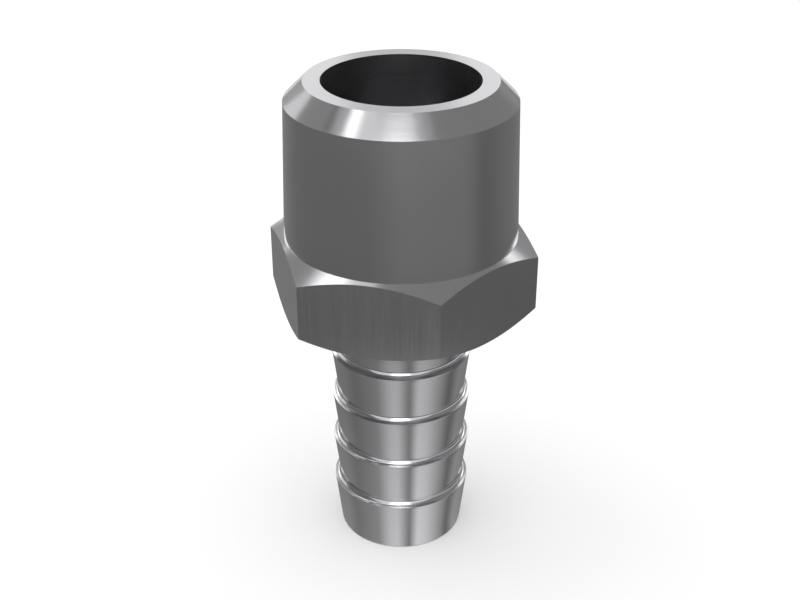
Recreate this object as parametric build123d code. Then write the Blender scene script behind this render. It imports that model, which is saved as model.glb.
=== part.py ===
from build123d import *
import os
from math import cos, radians, tan

# Frame: millimetres, +Z up along the fitting's axis, origin at the centre of the hose end's face.
# The hose end stands at the bottom, the tapered pipe spigot at the top.

# Barbed tail, from the hose end up
tip_diameter = 12.0           # where the last barb runs out at the hose end
crest_diameter = 13.2         # over the barbs, a little more than the half-inch hose it grips
root_diameter = 12.1          # in the grooves and on the plain neck above the barbs
barb_count = 4
barb_pitch = 4.84             # from one crest to the next
tip_barb_length = 5.26        # from the hose end to the first crest
crest_land = 0.2              # narrow straight band that blunts each crest
shoulder_rise = 0.22          # each shoulder climbs this much from its crest to the groove
neck_length = 4.48            # from the last crest to the hexagon
root_fillet = 0.5             # nose radius of the tool that cuts the grooves

# Hexagon for the spanner
across_flats = 22.0
hexagon_length = 7.72         # between its two end faces
face_circle_diameter = 20.9   # where the corner chamfer meets the end face
corner_chamfer_angle = 30.0   # degrees from the end face

# Tapered spigot of the half-inch taper pipe size
spigot_length = 14.2          # from the hexagon's end face to the spigot's end
gauge_diameter = 20.955       # at the gauge plane
gauge_length = 8.2            # from the spigot's end down to the gauge plane
taper_on_diameter = 1 / 16
end_chamfer = 1.75            # both legs of the 45 degree chamfer

# Waterway: a wide bore from the spigot's end, a drill point and a narrow bore through the tail
spigot_bore_diameter = 14.0
spigot_bore_depth = 16.0
tail_bore_diameter = 9.5
drill_point_angle = 118.0     # degrees, whole angle of the drill's tip

# Levels up the axis
first_crest = tip_barb_length
last_crest = first_crest + (barb_count - 1) * barb_pitch
hexagon_bottom = last_crest + neck_length
hexagon_top = hexagon_bottom + hexagon_length
spigot_end = hexagon_top + spigot_length

# Radii and heights that several features share
tip_radius = tip_diameter / 2
crest_radius = crest_diameter / 2
root_radius = root_diameter / 2
face_circle_radius = face_circle_diameter / 2
corner_radius = across_flats / 2 / cos(radians(30))
corner_drop = (corner_radius - face_circle_radius) * tan(radians(corner_chamfer_angle))


def turned(points):
    """Solid of revolution from (radius, height) points on one side of the axis."""
    outline = make_face(Polyline(*points, close=True))
    return revolve(Plane.XZ * outline, Axis.Z)


def spigot_radius(level):
    """Radius of the taper at a level: it is set at the gauge plane and grows towards the hexagon."""
    gauge_level = spigot_end - gauge_length
    return gauge_diameter / 2 + (gauge_level - level) * taper_on_diameter / 2


def barbed_tail():
    """Barbs that slope towards the hose end, each with its shoulder towards the hexagon."""
    outline = [(0, 0), (tip_radius, 0)]
    for barb in range(barb_count):
        crest = first_crest + barb * barb_pitch
        outline.append((crest_radius, crest - crest_land))
        outline.append((crest_radius, crest))
        outline.append((root_radius, crest + shoulder_rise))
    outline.append((root_radius, hexagon_bottom))
    outline.append((0, hexagon_bottom))

    profile = make_face(Polyline(*outline, close=True))
    corners = profile.vertices().filter_by(lambda corner: abs(corner.X - root_radius) < 1e-6)
    grooves = corners.sort_by(Axis.Y)[:barb_count]
    profile = fillet(grooves, root_fillet)
    return revolve(Plane.XZ * profile, Axis.Z)


def hexagon():
    """Hexagon bar with its corners turned off to a cone at both ends, flats square to the Y axis."""
    bar = Plane.XY.offset(hexagon_bottom) * extrude(RegularPolygon(corner_radius, 6), hexagon_length)
    cone_run = corner_radius + 1 - face_circle_radius
    cone_height = cone_run * tan(radians(corner_chamfer_angle))
    chamfered_blank = turned(
        [
            (0, hexagon_bottom),
            (face_circle_radius, hexagon_bottom),
            (face_circle_radius + cone_run, hexagon_bottom + cone_height),
            (face_circle_radius + cone_run, hexagon_top - cone_height),
            (face_circle_radius, hexagon_top),
            (0, hexagon_top),
        ]
    )
    return bar & chamfered_blank


def tapered_spigot():
    """Pipe end that tapers towards its chamfered rim and runs down into the hexagon's cone."""
    root_level = hexagon_top - corner_drop
    chamfer_level = spigot_end - end_chamfer
    return turned(
        [
            (0, root_level),
            (spigot_radius(root_level), root_level),
            (spigot_radius(chamfer_level), chamfer_level),
            (spigot_radius(chamfer_level) - end_chamfer, spigot_end),
            (0, spigot_end),
        ]
    )


def waterway():
    """Stepped bore right through: drilled wide from the spigot, with the drill's cone at its foot."""
    wide_radius = spigot_bore_diameter / 2
    narrow_radius = tail_bore_diameter / 2
    step_level = spigot_end - spigot_bore_depth
    cone_foot = step_level - (wide_radius - narrow_radius) / tan(radians(drill_point_angle / 2))
    return turned(
        [
            (0, 0),
            (narrow_radius, 0),
            (narrow_radius, cone_foot),
            (wide_radius, step_level),
            (wide_radius, spigot_end),
            (0, spigot_end),
        ]
    )


def hose_barb_tail():
    """The whole fitting, one piece turned and bored from hexagon bar."""
    return barbed_tail() + hexagon() + tapered_spigot() - waterway()


os.makedirs("parts", exist_ok=True)
export_step(hose_barb_tail(), "parts/hose_barb_tail.step")
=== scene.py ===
from math import atan2, cos, pi, radians, sin, tan

import bpy
from bpy.props import FloatProperty, FloatVectorProperty, IntProperty, PointerProperty
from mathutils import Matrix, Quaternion, Vector


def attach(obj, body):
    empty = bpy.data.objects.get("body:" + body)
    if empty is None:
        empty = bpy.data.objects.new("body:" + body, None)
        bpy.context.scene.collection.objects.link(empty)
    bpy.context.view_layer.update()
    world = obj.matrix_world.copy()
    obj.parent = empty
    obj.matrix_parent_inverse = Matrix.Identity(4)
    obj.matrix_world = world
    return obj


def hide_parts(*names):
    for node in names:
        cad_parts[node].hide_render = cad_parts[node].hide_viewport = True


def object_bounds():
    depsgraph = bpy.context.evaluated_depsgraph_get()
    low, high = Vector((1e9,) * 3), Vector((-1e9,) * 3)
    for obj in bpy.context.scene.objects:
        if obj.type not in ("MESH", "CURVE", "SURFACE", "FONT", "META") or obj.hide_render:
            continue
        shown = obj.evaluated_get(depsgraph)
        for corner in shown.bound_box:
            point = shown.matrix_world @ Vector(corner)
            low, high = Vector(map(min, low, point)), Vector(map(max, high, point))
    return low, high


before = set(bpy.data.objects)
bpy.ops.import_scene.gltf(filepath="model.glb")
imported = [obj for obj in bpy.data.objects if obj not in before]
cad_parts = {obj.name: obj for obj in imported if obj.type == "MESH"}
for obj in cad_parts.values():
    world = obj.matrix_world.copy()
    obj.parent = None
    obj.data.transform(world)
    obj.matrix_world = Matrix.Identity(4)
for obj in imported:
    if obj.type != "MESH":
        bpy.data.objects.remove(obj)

bl_info = {
    "name": "Hose barb tail",
    "version": (1, 0, 0),
    "blender": (4, 5, 0),
    "location": "3D View > Sidebar > Hose tail",
    "description": "A stainless hose tail turned from hexagon bar, and a plain studio for it",
    "category": "Object",
}

# Units are metres and radians. The fitting stands on its hose end, with its axis on Z.
cad_low, cad_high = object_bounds()
mm = 0.001
turned_sides = 192            # edges round the fitting, so that it looks round in a close view
flat_count = 6                # of the hexagon
flat_turn = radians(360) / flat_count
merge_gap = 0.0005 * mm
smooth_below = radians(6)     # less than the 7 degrees between a barb's slope and its land
aim_level = 30 * mm           # on the axis, inside the hexagon: the cards and the lamp face this point


def linear(hex_colour):
    """An sRGB hex colour as linear red, green and blue."""
    channels = [int(hex_colour[place:place + 2], 16) / 255 for place in (0, 2, 4)]
    return [c / 12.92 if c <= 0.04045 else ((c + 0.055) / 1.055) ** 2.4 for c in channels]


def length(name, description, default):
    """A length that a user can change, kept above a hundredth of a millimetre."""
    return FloatProperty(
        name=name, description=description, default=default, min=0.01 * mm, unit="LENGTH"
    )


def angle(name, description, degrees):
    """An angle that a user can change, given here in degrees."""
    return FloatProperty(
        name=name, description=description, default=radians(degrees), subtype="ANGLE"
    )


def share(name, description, default):
    """A value from 0 to 1 that a user can change."""
    return FloatProperty(
        name=name, description=description, default=default, min=0, max=1, subtype="FACTOR"
    )


def colour(name, description, hex_colour):
    """A colour that a user can change."""
    return FloatVectorProperty(
        name=name, description=description, default=linear(hex_colour), min=0, max=1, subtype="COLOR"
    )


class HoseTailSizes(bpy.types.PropertyGroup):
    """Sizes of the fitting."""

    total_length: length("Length", "From the hose end to the spigot's end", cad_high.z - cad_low.z)
    across_flats: length("Across flats", "Hexagon for the spanner", cad_high.y - cad_low.y)
    tip_diameter: length("Tip diameter", "Where the last barb runs out at the hose end", 12.0 * mm)
    crest_diameter: length("Crest diameter", "Over the barbs", 13.2 * mm)
    root_diameter: length("Root diameter", "In the grooves and on the plain neck", 12.1 * mm)
    barb_count: IntProperty(name="Barbs", description="Number of barbs", default=4, min=1, max=12)
    barb_pitch: length("Barb pitch", "From one crest to the next", 4.84 * mm)
    tip_barb_length: length("Tip barb", "From the hose end to the first crest", 5.26 * mm)
    crest_land: length("Crest land", "Narrow straight band that blunts each crest", 0.2 * mm)
    shoulder_rise: length("Shoulder rise", "Climb of a shoulder, crest to groove", 0.22 * mm)
    root_fillet: length("Groove radius", "Nose radius of the tool that cuts the grooves", 0.5 * mm)
    neck_length: length("Neck length", "From the last crest to the hexagon", 4.48 * mm)
    hexagon_length: length("Hexagon length", "Between the hexagon's end faces", 7.72 * mm)
    face_circle_diameter: length("Face circle", "Where chamfer and end face meet", 20.9 * mm)
    corner_chamfer_angle: angle("Corner chamfer", "From the hexagon's end face", 30)
    gauge_diameter: length("Gauge diameter", "Taper pipe size at the gauge plane", 20.955 * mm)
    gauge_length: length("Gauge length", "From the spigot's end to the gauge plane", 8.2 * mm)
    taper_on_diameter: FloatProperty(
        name="Taper", description="Growth of the diameter along the spigot", default=1 / 16, min=0
    )
    end_chamfer: length("End chamfer", "Both legs of the chamfer round the spigot's end", 1.75 * mm)
    spigot_bore_diameter: length("Spigot bore", "Wide bore from the spigot's end", 14.0 * mm)
    spigot_bore_depth: length("Spigot bore depth", "Down to the start of the drill's cone", 16.0 * mm)
    drill_point_angle: angle("Drill point", "Whole angle of the drill's tip", 118)
    tail_bore_diameter: length("Tail bore", "Narrow bore through the tail", 9.5 * mm)


class HoseTailFinish(bpy.types.PropertyGroup):
    """Colour and finish of the steel."""

    steel_colour: colour("Steel", "Bare stainless steel", "C4C4C6")
    turned_roughness: share("Turned roughness", "Finely turned surfaces", 0.16)
    turned_marks: share("Turned marks", "Strength of the tool marks on turned surfaces", 0.06)
    drilled_roughness: share("Drilled roughness", "Walls of the bore", 0.22)
    drilled_marks: share("Drilled marks", "Strength of the tool marks in the bore", 0.12)
    drawn_roughness: share("Drawn roughness", "Flats of the drawn bar", 0.22)


class HoseTailStudio(bpy.types.PropertyGroup):
    """Floor and camera."""

    floor_colour: colour("Floor", "Plain pale floor", "FDFDFD")
    camera_azimuth: angle("Camera azimuth", "Turn round the fitting", 14.9)
    camera_pitch: angle("Camera pitch", "How far it looks down", 28.458)
    camera_distance: length("Camera distance", "Level distance from the fitting's axis", 103.49 * mm)
    camera_height: length("Camera height", "Above the floor", 80.69 * mm)
    camera_shift: length("Camera shift", "How far its aim passes left of the axis", 0.104 * mm)
    camera_lens: FloatProperty(
        name="Lens", description="Focal length", default=56.375, min=1, unit="CAMERA"
    )


def rounded_corner(before, corner, after, radius, step=radians(5)):
    """Points of the arc that rounds a corner of the outline, in even turns of under the step."""
    before, corner, after = Vector(before), Vector(corner), Vector(after)
    arriving = (corner - before).normalized()
    leaving = (after - corner).normalized()
    turn = arriving.angle_signed(leaving)
    setback = radius * tan(abs(turn) / 2)
    point = corner - arriving * setback
    count = int(abs(turn) / step) + 1
    chord = 2 * radius * sin(abs(turn) / count / 2)
    start = atan2(arriving.y, arriving.x)
    points = [tuple(point)]
    for index in range(count):
        heading = start - turn * (index + 0.5) / count
        point = point + Vector((cos(heading), sin(heading))) * chord
        points.append(tuple(point))
    return points


def tail_outline(sizes):
    """Barbs that slope towards the hose end, their shoulders and rounded grooves, then the neck."""
    tip, crest, root = sizes.tip_diameter / 2, sizes.crest_diameter / 2, sizes.root_diameter / 2
    neck_top = sizes.tip_barb_length + (sizes.barb_count - 1) * sizes.barb_pitch + sizes.neck_length
    outline = [(tip, 0)]
    for barb in range(sizes.barb_count):
        crest_level = sizes.tip_barb_length + barb * sizes.barb_pitch
        if barb < sizes.barb_count - 1:
            above = (crest, crest_level + sizes.barb_pitch - sizes.crest_land)
        else:
            above = (root, neck_top)
        groove = (root, crest_level + sizes.shoulder_rise)
        outline.append((crest, crest_level - sizes.crest_land))
        outline.append((crest, crest_level))
        outline += rounded_corner(outline[-1], groove, above, sizes.root_fillet)
    outline.append((root, neck_top))
    return outline


def blank_outline(sizes, bottom):
    """The round blank of the hexagon with its two corner chamfers, a little wider than the corners."""
    spare = 0.5 * mm
    face_circle = sizes.face_circle_diameter / 2
    top = bottom + sizes.hexagon_length
    corner = sizes.across_flats / 2 / cos(flat_turn / 2)
    run = corner + spare - face_circle
    drop = run * tan(sizes.corner_chamfer_angle)
    return [(face_circle, bottom), (face_circle + run, bottom + drop), (face_circle + run, top - drop)]


def spigot_outline(sizes, face_level):
    """The taper from where it meets the hexagon's cone up to the chamfered rim."""
    gauge_level = sizes.total_length - sizes.gauge_length
    chamfer_level = sizes.total_length - sizes.end_chamfer
    slope = sizes.taper_on_diameter / 2

    def radius(level):
        return sizes.gauge_diameter / 2 + (gauge_level - level) * slope

    cone_slope = tan(sizes.corner_chamfer_angle)
    past_circle = radius(face_level) - sizes.face_circle_diameter / 2
    foot_level = face_level - past_circle * cone_slope / (1 - slope * cone_slope)
    return [
        (radius(foot_level), foot_level),
        (radius(chamfer_level), chamfer_level),
        (radius(chamfer_level) - sizes.end_chamfer, sizes.total_length),
    ]


def bore_outline(sizes):
    """Down the wide bore, the drill's cone and the narrow bore."""
    wide, narrow = sizes.spigot_bore_diameter / 2, sizes.tail_bore_diameter / 2
    step_level = sizes.total_length - sizes.spigot_bore_depth
    cone_foot = step_level - (wide - narrow) / tan(sizes.drill_point_angle / 2)
    return [(wide, sizes.total_length), (wide, step_level), (narrow, cone_foot), (narrow, 0)]


def deselect_all():
    """Nothing selected and no mesh in edit mode."""
    if bpy.context.mode != "OBJECT":
        bpy.ops.object.mode_set(mode="OBJECT")
    bpy.ops.object.select_all(action="DESELECT")


def close_skin():
    """Merges the points that meet in the mesh in edit mode, and turns its faces outwards."""
    bpy.ops.mesh.select_all(action="SELECT")
    bpy.ops.mesh.remove_doubles(threshold=merge_gap)
    bpy.ops.mesh.normals_make_consistent(inside=False)


def turn_on_axis(name, outline):
    """A closed skin round the Z axis: one ring of edges, extruded and resized from point to point."""
    deselect_all()
    radius, level = outline[-1]
    bpy.ops.mesh.primitive_circle_add(vertices=turned_sides, radius=radius, location=(0, 0, level))
    piece = bpy.context.object
    piece.name = name
    bpy.ops.object.mode_set(mode="EDIT")
    for next_radius, next_level in outline:
        bpy.ops.mesh.extrude_region_move(TRANSFORM_OT_translate={"value": (0, 0, next_level - level)})
        scale = next_radius / radius
        bpy.ops.transform.resize(value=(scale, scale, 1), center_override=(0, 0, next_level))
        radius, level = next_radius, next_level
    close_skin()
    return piece


def cut_flats(across_flats):
    """Cuts the flats of the hexagon off the mesh in edit mode, two of them square to Y."""
    for flat in range(flat_count):
        turn = flat_turn * flat
        outward = Vector((sin(turn), cos(turn), 0))
        bpy.ops.mesh.select_all(action="SELECT")
        bpy.ops.mesh.bisect(
            plane_co=outward * across_flats / 2,
            plane_no=outward,
            use_fill=True,
            clear_outer=True,
            threshold=merge_gap,
        )
    close_skin()


def add_node(tree, kind, inputs=None, **settings):
    """Adds a node with its settings, and fills its inputs with values or links from other nodes."""
    made = tree.nodes.new(kind)
    for name, value in settings.items():
        setattr(made, name, value)
    for socket, value in (inputs or {}).items():
        if isinstance(value, bpy.types.NodeSocket):
            tree.links.new(value, made.inputs[socket])
        else:
            made.inputs[socket].default_value = value
    return made


def new_material(name):
    """An empty node material, with its node tree and output."""
    material = bpy.data.materials.new(name)
    material.use_nodes = True
    tree = material.node_tree
    tree.nodes.clear()
    return material, tree, add_node(tree, "ShaderNodeOutputMaterial")


def machined_steel(name, steel_colour, typical_roughness, mark_strength):
    """Austenitic stainless steel off the lathe: rings of tool marks draw its reflections out."""
    # The tool feeds 0.1 mm a turn. The marks are drawn 0.3 mm apart, because finer ones don't show.
    mark_spacing = 0.3 * mm
    mark_depth = 0.02 * mm
    radial_travel = 0.6        # a share of the radius, so that faces square to the axis have rings too
    handled_patch = 6 * mm     # size of the patches that handling leaves a little duller
    roughness_spread = 0.02

    material, tree, output = new_material(name)
    place = add_node(tree, "ShaderNodeTexCoord")
    parts = add_node(tree, "ShaderNodeSeparateXYZ", {0: place.outputs["Object"]})
    level_parts = add_node(
        tree, "ShaderNodeVectorMath", {0: place.outputs["Object"], 1: (1, 1, 0)}, operation="MULTIPLY"
    )
    radius = add_node(tree, "ShaderNodeVectorMath", {0: level_parts.outputs[0]}, operation="LENGTH")
    travel = add_node(
        tree,
        "ShaderNodeMath",
        {0: radius.outputs["Value"], 1: radial_travel, 2: parts.outputs["Z"]},
        operation="MULTIPLY_ADD",
    )
    marks = add_node(
        tree,
        "ShaderNodeTexNoise",
        {"W": travel.outputs[0], "Scale": 1 / mark_spacing, "Detail": 2.0, "Roughness": 0.6},
        noise_dimensions="1D",
    )
    handling = add_node(
        tree,
        "ShaderNodeTexNoise",
        {"Vector": place.outputs["Object"], "Scale": 1 / handled_patch, "Detail": 3.0},
    )
    # Each noise stays near a half, so their sum stays near one.
    mixed = add_node(
        tree,
        "ShaderNodeMath",
        {0: marks.outputs["Fac"], 1: handling.outputs["Fac"]},
        operation="ADD",
    )
    roughness = add_node(
        tree,
        "ShaderNodeMapRange",
        {
            "Value": mixed.outputs[0],
            "From Min": 0.6,
            "From Max": 1.4,
            "To Min": typical_roughness - roughness_spread,
            "To Max": typical_roughness + roughness_spread,
        },
    )
    bump = add_node(
        tree,
        "ShaderNodeBump",
        {"Strength": mark_strength, "Distance": mark_depth, "Height": marks.outputs["Fac"]},
    )
    around = add_node(tree, "ShaderNodeTangent", direction_type="RADIAL", axis="Z")
    steel = add_node(
        tree,
        "ShaderNodeBsdfPrincipled",
        {
            "Base Color": (*steel_colour, 1),
            "Metallic": 1.0,
            "Roughness": roughness.outputs[0],
            "Anisotropic": 0.3,
            "Normal": bump.outputs[0],
            "Tangent": around.outputs[0],
        },
    )
    tree.links.new(steel.outputs[0], output.inputs["Surface"])
    return material


def drawn_stainless_steel(finish):
    """The bar's own cold-drawn skin on the flats: duller, with faint lines along the bar."""
    # The die leaves lines some hundredths of a millimetre wide. They are drawn wider, to show.
    line_width = 0.25 * mm
    line_length = 8 * mm
    line_depth = 0.02 * mm
    roughness_spread = 0.03

    material, tree, output = new_material("drawn_stainless_steel")
    place = add_node(tree, "ShaderNodeTexCoord")
    stretch = add_node(
        tree,
        "ShaderNodeMapping",
        {
            "Vector": place.outputs["Object"],
            "Scale": (1 / line_width, 1 / line_width, 1 / line_length),
        },
    )
    lines = add_node(
        tree, "ShaderNodeTexNoise", {"Vector": stretch.outputs[0], "Scale": 1.0, "Detail": 3.0}
    )
    roughness = add_node(
        tree,
        "ShaderNodeMapRange",
        {
            "Value": lines.outputs["Fac"],
            "From Min": 0.3,
            "From Max": 0.7,
            "To Min": finish.drawn_roughness - roughness_spread,
            "To Max": finish.drawn_roughness + roughness_spread,
        },
    )
    bump = add_node(
        tree,
        "ShaderNodeBump",
        {"Strength": 0.02, "Distance": line_depth, "Height": lines.outputs["Fac"]},
    )
    steel = add_node(
        tree,
        "ShaderNodeBsdfPrincipled",
        {
            "Base Color": (*finish.steel_colour, 1),
            "Metallic": 1.0,
            "Roughness": roughness.outputs[0],
            "Normal": bump.outputs[0],
        },
    )
    tree.links.new(steel.outputs[0], output.inputs["Surface"])
    return material


class HOSETAIL_OT_add_fitting(bpy.types.Operator):
    """Turn the whole fitting on its axis, cut the hexagon's flats and give the steel its finishes"""

    bl_idname = "hose_tail.add_fitting"
    bl_label = "Add hose tail"

    def execute(self, context):
        sizes, finish = context.scene.hose_tail_sizes, context.scene.hose_tail_finish
        tail = tail_outline(sizes)
        neck_top = tail[-1][1]
        blank = blank_outline(sizes, neck_top)
        spigot = spigot_outline(sizes, neck_top + sizes.hexagon_length)
        piece = turn_on_axis("turned_fitting", tail + blank + spigot + bore_outline(sizes))
        cut_flats(sizes.across_flats)
        deselect_all()
        piece.select_set(True)
        bpy.ops.object.shade_smooth_by_angle(angle=smooth_below)

        turned = machined_steel(
            "turned_stainless_steel",
            finish.steel_colour,
            finish.turned_roughness,
            finish.turned_marks,
        )
        drilled = machined_steel(
            "drilled_stainless_steel",
            finish.steel_colour,
            finish.drilled_roughness,
            finish.drilled_marks,
        )
        drawn = drawn_stainless_steel(finish)
        finishes = [turned, drawn, drilled]
        for material in finishes:
            piece.data.materials.append(material)

        # The flats are the largest faces. The walls of the bore and the drill's cone face the axis.
        flats = sorted(piece.data.polygons, key=lambda face: face.area)[-flat_count:]
        for face in flats:
            if abs(face.normal.z) > 0.01:
                raise RuntimeError("a flat of the hexagon didn't come out upright")
            face.material_index = finishes.index(drawn)
        for face in piece.data.polygons:
            if face.normal.xy.dot(face.center.xy.normalized()) < -0.1:
                face.material_index = finishes.index(drilled)

        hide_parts("hose_barb_tail")
        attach(piece, "root")
        return {"FINISHED"}


def facing(azimuth):
    """The level direction away from the fitting, turned right-handed from the camera's side."""
    turn = bpy.context.scene.hose_tail_studio.camera_azimuth + azimuth
    return Vector((sin(turn), -cos(turn), 0))


def stand_facing(holder, azimuth, elevation, distance, roll=0):
    """Stands a card or lamp square to the line to its aim. Roll leans its top to lower azimuths."""
    azimuth, elevation, roll = radians(azimuth), radians(elevation), radians(roll)
    direction = facing(azimuth) * cos(elevation) + Vector((0, 0, sin(elevation)))
    holder.location = Vector((0, 0, aim_level)) + direction * distance
    facing_in = direction.to_track_quat("Z", "Y") @ Quaternion((0, 0, 1), roll)
    holder.rotation_euler = facing_in.to_euler()


def mirror_only(card):
    """The card is out of sight and throws no shade: only the steel mirrors it."""
    card.visible_camera = False
    card.visible_diffuse = False
    card.visible_shadow = False
    card.visible_transmission = False


def grey_card(grey):
    """Card that glows in one even grey: it shades the steel below 1, and lights it above 1."""
    material, tree, output = new_material("grey_card")
    shine = add_node(tree, "ShaderNodeEmission", {"Color": (grey, grey, grey, 1), "Strength": 1.0})
    tree.links.new(shine.outputs[0], output.inputs["Surface"])
    return material


def matt_white_board(floor_colour):
    """Board without any gloss, which shows nothing but the soft shadow."""
    material, tree, output = new_material("matt_white_board")
    board = add_node(
        tree,
        "ShaderNodeBsdfPrincipled",
        {"Base Color": (*floor_colour, 1), "Roughness": 1.0, "Specular IOR Level": 0.0},
    )
    tree.links.new(board.outputs[0], output.inputs["Surface"])
    return material


def add_floor(studio):
    """A plain floor, wide enough that a low view still ends on it."""
    width = 4000 * mm
    deselect_all()
    bpy.ops.mesh.primitive_plane_add(size=width, location=(0, 0, 0))
    floor = bpy.context.object
    floor.name = "floor"
    floor.data.materials.append(matt_white_board(studio.floor_colour))


def set_stops(ramp, stops, widest):
    """Gives a colour ramp its grey stops, at angles in degrees from minus to plus the widest."""
    band = ramp.color_ramp
    for index, (bearing, grey) in enumerate(stops):
        position = (bearing + widest) / (2 * widest)
        if index < 2:
            stop = band.elements[index]
            stop.position = position
        else:
            stop = band.elements.new(position)
        stop.color = (grey, grey, grey, 1)


def fanned_streaks(tree, bearing, distance):
    """Light and dark streaks of painted reflection that fan out from the foot, by the angle at which a
    barb shows them.
    """
    # A barb turns the line of sight by twice the angle of its own surface, so far from the foot
    # a streak lies at twice the angle that it shows at, and less near the foot.
    barb_radius = 6.3 * mm
    reach = add_node(tree, "ShaderNodeMath", {0: barb_radius, 1: distance}, operation="DIVIDE")
    bend = add_node(tree, "ShaderNodeMath", {0: 2.0, 1: reach.outputs[0]}, operation="SUBTRACT")
    shown = add_node(tree, "ShaderNodeMath", {0: bearing, 1: bend.outputs[0]}, operation="DIVIDE")

    fan = 90
    start, whole = radians(fan), radians(2 * fan)
    shifted = add_node(tree, "ShaderNodeMath", {0: shown.outputs[0], 1: start}, operation="ADD")
    folded = add_node(tree, "ShaderNodeMath", {0: shifted.outputs[0], 1: whole}, operation="PINGPONG")
    across = add_node(tree, "ShaderNodeMath", {0: folded.outputs[0], 1: whole}, operation="DIVIDE")
    streaks = add_node(tree, "ShaderNodeValToRGB", {0: across.outputs[0]})
    left_stops = [(-fan, 0.2), (-62, 0.26), (-46, 0.2), (-22, 0.3), (-10, 0.64), (-3, 0.68)]
    right_stops = [(8, 0.22), (16, 0.78), (24, 0.7), (34, 0.48), (50, 0.15), (62, 0.33), (fan, 0.2)]
    set_stops(streaks, left_stops + right_stops, fan)
    return streaks.outputs[0]


def streaked_card():
    """Card that glows in soft greys, painted reflections: streaks round the foot for the barbs, two
    rings for the rest.
    """
    material, tree, output = new_material("painted_reflection_floor_card")
    place = add_node(tree, "ShaderNodeTexCoord")
    camera_turn = -bpy.context.scene.hose_tail_studio.camera_azimuth
    turned = add_node(
        tree, "ShaderNodeMapping", {"Vector": place.outputs["Object"], "Rotation": (0, 0, camera_turn)}
    )
    parts = add_node(tree, "ShaderNodeSeparateXYZ", {0: turned.outputs[0]})
    distance = add_node(tree, "ShaderNodeVectorMath", {0: turned.outputs[0]}, operation="LENGTH")
    front = add_node(tree, "ShaderNodeMath", {0: parts.outputs["Y"], 1: -1.0}, operation="MULTIPLY")
    bearing = add_node(
        tree, "ShaderNodeMath", {0: parts.outputs["X"], 1: front.outputs[0]}, operation="ARCTAN2"
    )
    around = add_node(
        tree, "ShaderNodeMapRange", {"Value": bearing.outputs[0], "From Min": -pi, "From Max": pi}
    )
    flats_ring = add_node(tree, "ShaderNodeValToRGB", {0: around.outputs[0]})
    set_stops(flats_ring, [(-180, 0.23), (-130, 0.23), (-80, 0.15), (110, 0.15), (180, 0.23)], 180)
    spigot_ring = add_node(tree, "ShaderNodeValToRGB", {0: around.outputs[0]})
    left_stops = [(-180, 0.3), (-110, 0.2), (-28, 0.19)]
    right_stops = [(0, 0.24), (60, 0.24), (82, 0.16), (110, 0.21), (180, 0.24)]
    set_stops(spigot_ring, left_stops + right_stops, 180)

    # The barbs mirror the streaks. Past them the flats mirror one ring, and the spigot the next.
    flats_edge = (42.5 * mm, 48 * mm)
    spigot_edge = (72 * mm, 80 * mm)
    grey = fanned_streaks(tree, bearing.outputs[0], distance.outputs["Value"])
    for (near, far), ring in ((flats_edge, flats_ring), (spigot_edge, spigot_ring)):
        outward = add_node(
            tree,
            "ShaderNodeMapRange",
            {"Value": distance.outputs["Value"], "From Min": near, "From Max": far},
            interpolation_type="SMOOTHSTEP",
        )
        blend = add_node(tree, "ShaderNodeMix", data_type="RGBA")
        tree.links.new(outward.outputs[0], blend.inputs["Factor"])
        tree.links.new(grey, blend.inputs["A"])
        tree.links.new(ring.outputs[0], blend.inputs["B"])
        grey = blend.outputs["Result"]

    # The card glows a little brighter close to the foot: a painted highlight on the lowest barbs,
    # which mirror it there.
    foot_strength = 1.34
    foot_near, foot_far = 6 * mm, 23 * mm
    strength = add_node(
        tree,
        "ShaderNodeMapRange",
        {
            "Value": distance.outputs["Value"],
            "From Min": foot_near,
            "From Max": foot_far,
            "To Min": foot_strength,
            "To Max": 1.0,
        },
    )
    shine = add_node(tree, "ShaderNodeEmission", {"Color": grey, "Strength": strength.outputs[0]})
    tree.links.new(shine.outputs[0], output.inputs["Surface"])
    return material


def add_floor_card():
    """A glowing ring card on the floor round the foot, painted reflections that the barbs, the flats
    and the spigot mirror.
    """
    sides = 96
    level = 0.05 * mm
    inner, outer = 6.05 * mm, 220 * mm
    deselect_all()
    bpy.ops.mesh.primitive_circle_add(vertices=sides, radius=inner, location=(0, 0, level))
    card = bpy.context.object
    card.name = "floor_card"
    bpy.ops.object.mode_set(mode="EDIT")
    bpy.ops.mesh.extrude_region_move()
    bpy.ops.transform.resize(value=(outer / inner, outer / inner, 1), center_override=(0, 0, level))
    bpy.ops.object.mode_set(mode="OBJECT")
    card.data.materials.append(streaked_card())
    mirror_only(card)


def add_card(name, azimuth, elevation, distance, size, grey, roll=0):
    """A card that only the steel mirrors, turned to the hexagon from where it stands."""
    deselect_all()
    bpy.ops.mesh.primitive_plane_add(size=1)
    card = bpy.context.object
    card.name = name
    card.scale = (*size, 1)
    stand_facing(card, azimuth, elevation, distance, roll)
    card.data.materials.append(grey_card(grey))
    mirror_only(card)


def add_lamp(name, azimuth, elevation, distance, size, radiance):
    """A soft lamp that lights the floor, and that the steel doesn't mirror."""
    lamp = bpy.data.lights.new(name, "AREA")
    lamp.shape = "RECTANGLE"
    lamp.size, lamp.size_y = size
    lamp.energy = radiance * 4 * size[0] * size[1]    # four watts a square metre and unit of radiance
    holder = bpy.data.objects.new(name, lamp)
    holder.visible_glossy = False
    stand_facing(holder, azimuth, elevation, distance)
    bpy.context.scene.collection.objects.link(holder)


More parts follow.
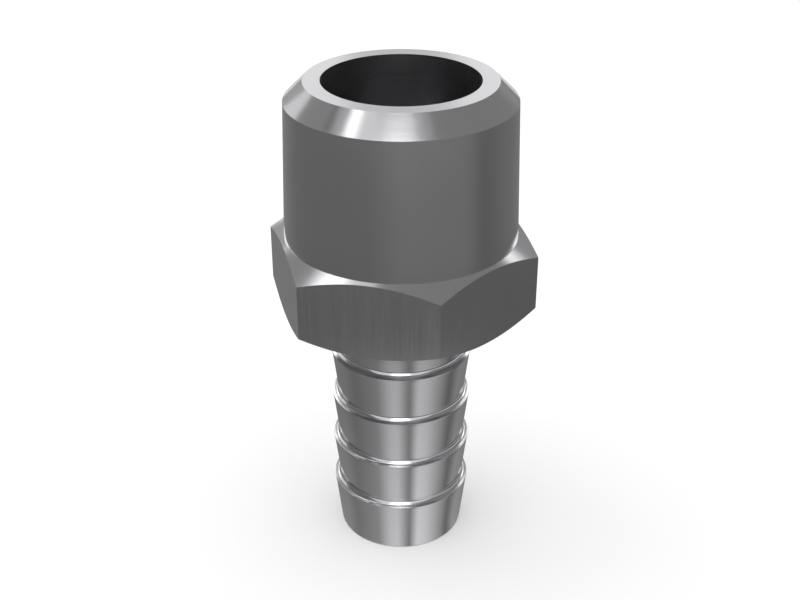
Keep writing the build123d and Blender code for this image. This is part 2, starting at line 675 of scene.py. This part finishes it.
def light_world():
    """White to the camera and in reflections, and a little brighter where it lights the floor."""
    floor_strength = 1.06
    world = bpy.data.worlds.new("studio_white")
    bpy.context.scene.world = world
    world.use_nodes = True
    tree = world.node_tree
    tree.nodes.clear()
    rays = add_node(tree, "ShaderNodeLightPath")
    seen = add_node(
        tree,
        "ShaderNodeMath",
        {0: rays.outputs["Is Camera Ray"], 1: rays.outputs["Is Glossy Ray"]},
        operation="ADD",
    )
    shown = add_node(
        tree,
        "ShaderNodeMath",
        {0: seen.outputs[0], 1: rays.outputs["Is Transmission Ray"]},
        operation="ADD",
        use_clamp=True,
    )
    white = (1, 1, 1, 1)
    light = add_node(tree, "ShaderNodeBackground", {"Color": white, "Strength": floor_strength})
    backdrop = add_node(tree, "ShaderNodeBackground", {"Color": white, "Strength": 1.0})
    mix = add_node(
        tree, "ShaderNodeMixShader", {0: shown.outputs[0], 1: light.outputs[0], 2: backdrop.outputs[0]}
    )
    add_node(tree, "ShaderNodeOutputWorld", {"Surface": mix.outputs[0]})


def add_camera(studio):
    """The camera looks down at the fitting from a little to its right."""
    to_camera = facing(0)
    to_right = Vector((-to_camera.y, to_camera.x, 0))
    lens = bpy.data.cameras.new("camera")
    lens.lens = studio.camera_lens
    lens.sensor_width = 36    # in mm, as the focal length is
    lens.clip_start = 1 * mm
    camera = bpy.data.objects.new("camera", lens)
    place = to_camera * studio.camera_distance - to_right * studio.camera_shift
    camera.location = (place.x, place.y, studio.camera_height)
    camera.rotation_euler = (pi / 2 - studio.camera_pitch, 0, studio.camera_azimuth)
    bpy.context.scene.collection.objects.link(camera)
    bpy.context.scene.camera = camera


class HOSETAIL_OT_set_stage(bpy.types.Operator):
    """Set the floor and its lamp, the cards that the steel mirrors, the white world and the camera"""

    bl_idname = "hose_tail.set_stage"
    bl_label = "Set stage"

    def execute(self, context):
        studio = context.scene.hose_tail_studio
        context.scene.view_settings.view_transform = "Standard"
        add_floor(studio)
        add_floor_card()

        # Each stands at an azimuth from the camera's side and an elevation, both in degrees, and at a
        # distance. Then come its width and height, in metres too, its grey or radiance, and its roll.
        add_lamp("key_lamp", -101, 62, 0.28, (0.166, 0.045), 2.1)

        # White patches at the left of the hexagon's cone and of the spigot's chamfer, and their shade
        add_card("left_cone_light", -113, 59, 0.28, (0.0265, 0.074), 2.8)
        add_card("left_chamfer_light", -71.5, 58, 0.28, (0.036, 0.038), 2.6)
        add_card("upper_left_card", -103, 60, 0.3, (0.22, 0.06), 0.3)

        # White crescents at both ends of the barbs' grooves
        add_card("left_notch_light", -139, -2.5, 0.2, (0.084, 0.034), 2.2)
        add_card("right_notch_light", 138, -2.5, 0.2, (0.084, 0.034), 2.2)
        add_card("left_mid_light", -133, 8, 0.2, (0.045, 0.04), 2.2)
        add_card("right_mid_light", 132, 8, 0.2, (0.045, 0.04), 2.2)

        # Grey ends of the hexagon's cone, and half tones beside the bright bands of the chamfer
        add_card("left_cone_card", -148.4, 13.8, 0.27, (0.047, 0.095), 0.48, -37)
        add_card("right_cone_card", 148.4, 13.8, 0.27, (0.047, 0.095), 0.36, 37)
        add_card("key_edge_card", -87, 53, 0.29, (0.055, 0.04), 0.6)
        add_card("upper_right_card", 38, 68, 0.275, (0.05, 0.05), 0.5)

        # Bright middle of the grooves and of the chamfer. It also reaches the shoulders, by way of
        # the barb above each.
        add_card("front_light", -1, 27, 0.35, (0.17, 0.46), 3.2)
        add_card("upper_front_light", -3, 63, 0.28, (0.13, 0.032), 5.0)
        add_card("overhead_light", -8, 71.5, 0.28, (0.13, 0.045), 0.75)

        # Bright ends of the shoulders, and the glint at the right of the hexagon's cone
        add_card("back_left_light", -150, 33, 0.3, (0.06, 0.22), 3.2, -10)
        add_card("back_right_light", 151, 33, 0.3, (0.055, 0.22), 3.0, 10)
        add_card("right_glint", 136, 33, 0.29, (0.035, 0.04), 2.0)

        # Wide shades that keep the rest of the steel in soft greys
        add_card("top_card", 85, 64, 0.3, (0.5, 0.45), 0.3)
        add_card("front_left_card", -78, 24, 0.3, (0.32, 0.38), 0.2)
        add_card("left_card", -125, 38, 0.3, (0.27, 0.12), 0.35)
        add_card("right_card", 90, 30, 0.3, (0.5, 0.3), 0.3)
        add_card("low_right_card", 140, 13, 0.32, (0.15, 0.14), 0.3)
        add_card("low_back_left_card", -162, 1, 0.4, (0.15, 0.09), 0.42)
        add_card("low_back_right_card", 162, 1, 0.4, (0.15, 0.09), 0.28)

        # Bright chamfer in the view from behind, and the spigot's end face in the view from the front
        add_card("overhead_back_light", 180, 73, 0.28, (0.1, 0.055), 3.0)
        add_card("back_light", 180, 19, 0.33, (0.12, 0.06), 1.18)
        add_card("back_card", 180, 19, 0.3, (0.034, 0.1), 0.77)

        light_world()
        add_camera(studio)
        return {"FINISHED"}


class HOSETAIL_PT_sidebar(bpy.types.Panel):
    """Sizes, finish and studio of the hose tail"""

    bl_idname = "HOSETAIL_PT_sidebar"
    bl_label = "Hose barb tail"
    bl_space_type = "VIEW_3D"
    bl_region_type = "UI"
    bl_category = "Hose tail"

    def draw(self, context):
        for group, operator in (
            (context.scene.hose_tail_sizes, HOSETAIL_OT_add_fitting),
            (context.scene.hose_tail_finish, None),
            (context.scene.hose_tail_studio, HOSETAIL_OT_set_stage),
        ):
            box = self.layout.box()
            for name in group.__annotations__:
                box.prop(group, name)
            if operator:
                box.operator(operator.bl_idname)


classes = (
    HoseTailSizes,
    HoseTailFinish,
    HoseTailStudio,
    HOSETAIL_OT_add_fitting,
    HOSETAIL_OT_set_stage,
    HOSETAIL_PT_sidebar,
)


def register():
    """Adds the classes to Blender, and their settings to every scene."""
    for cls in classes:
        bpy.utils.register_class(cls)
    bpy.types.Scene.hose_tail_sizes = PointerProperty(type=HoseTailSizes)
    bpy.types.Scene.hose_tail_finish = PointerProperty(type=HoseTailFinish)
    bpy.types.Scene.hose_tail_studio = PointerProperty(type=HoseTailStudio)


def unregister():
    """Takes the settings and the classes out again."""
    del bpy.types.Scene.hose_tail_studio
    del bpy.types.Scene.hose_tail_finish
    del bpy.types.Scene.hose_tail_sizes
    for cls in reversed(classes):
        bpy.utils.unregister_class(cls)


def main():
    """Builds the fitting and its stage."""
    register()
    bpy.ops.hose_tail.add_fitting()
    bpy.ops.hose_tail.set_stage()


if __name__ == "__main__":
    main()
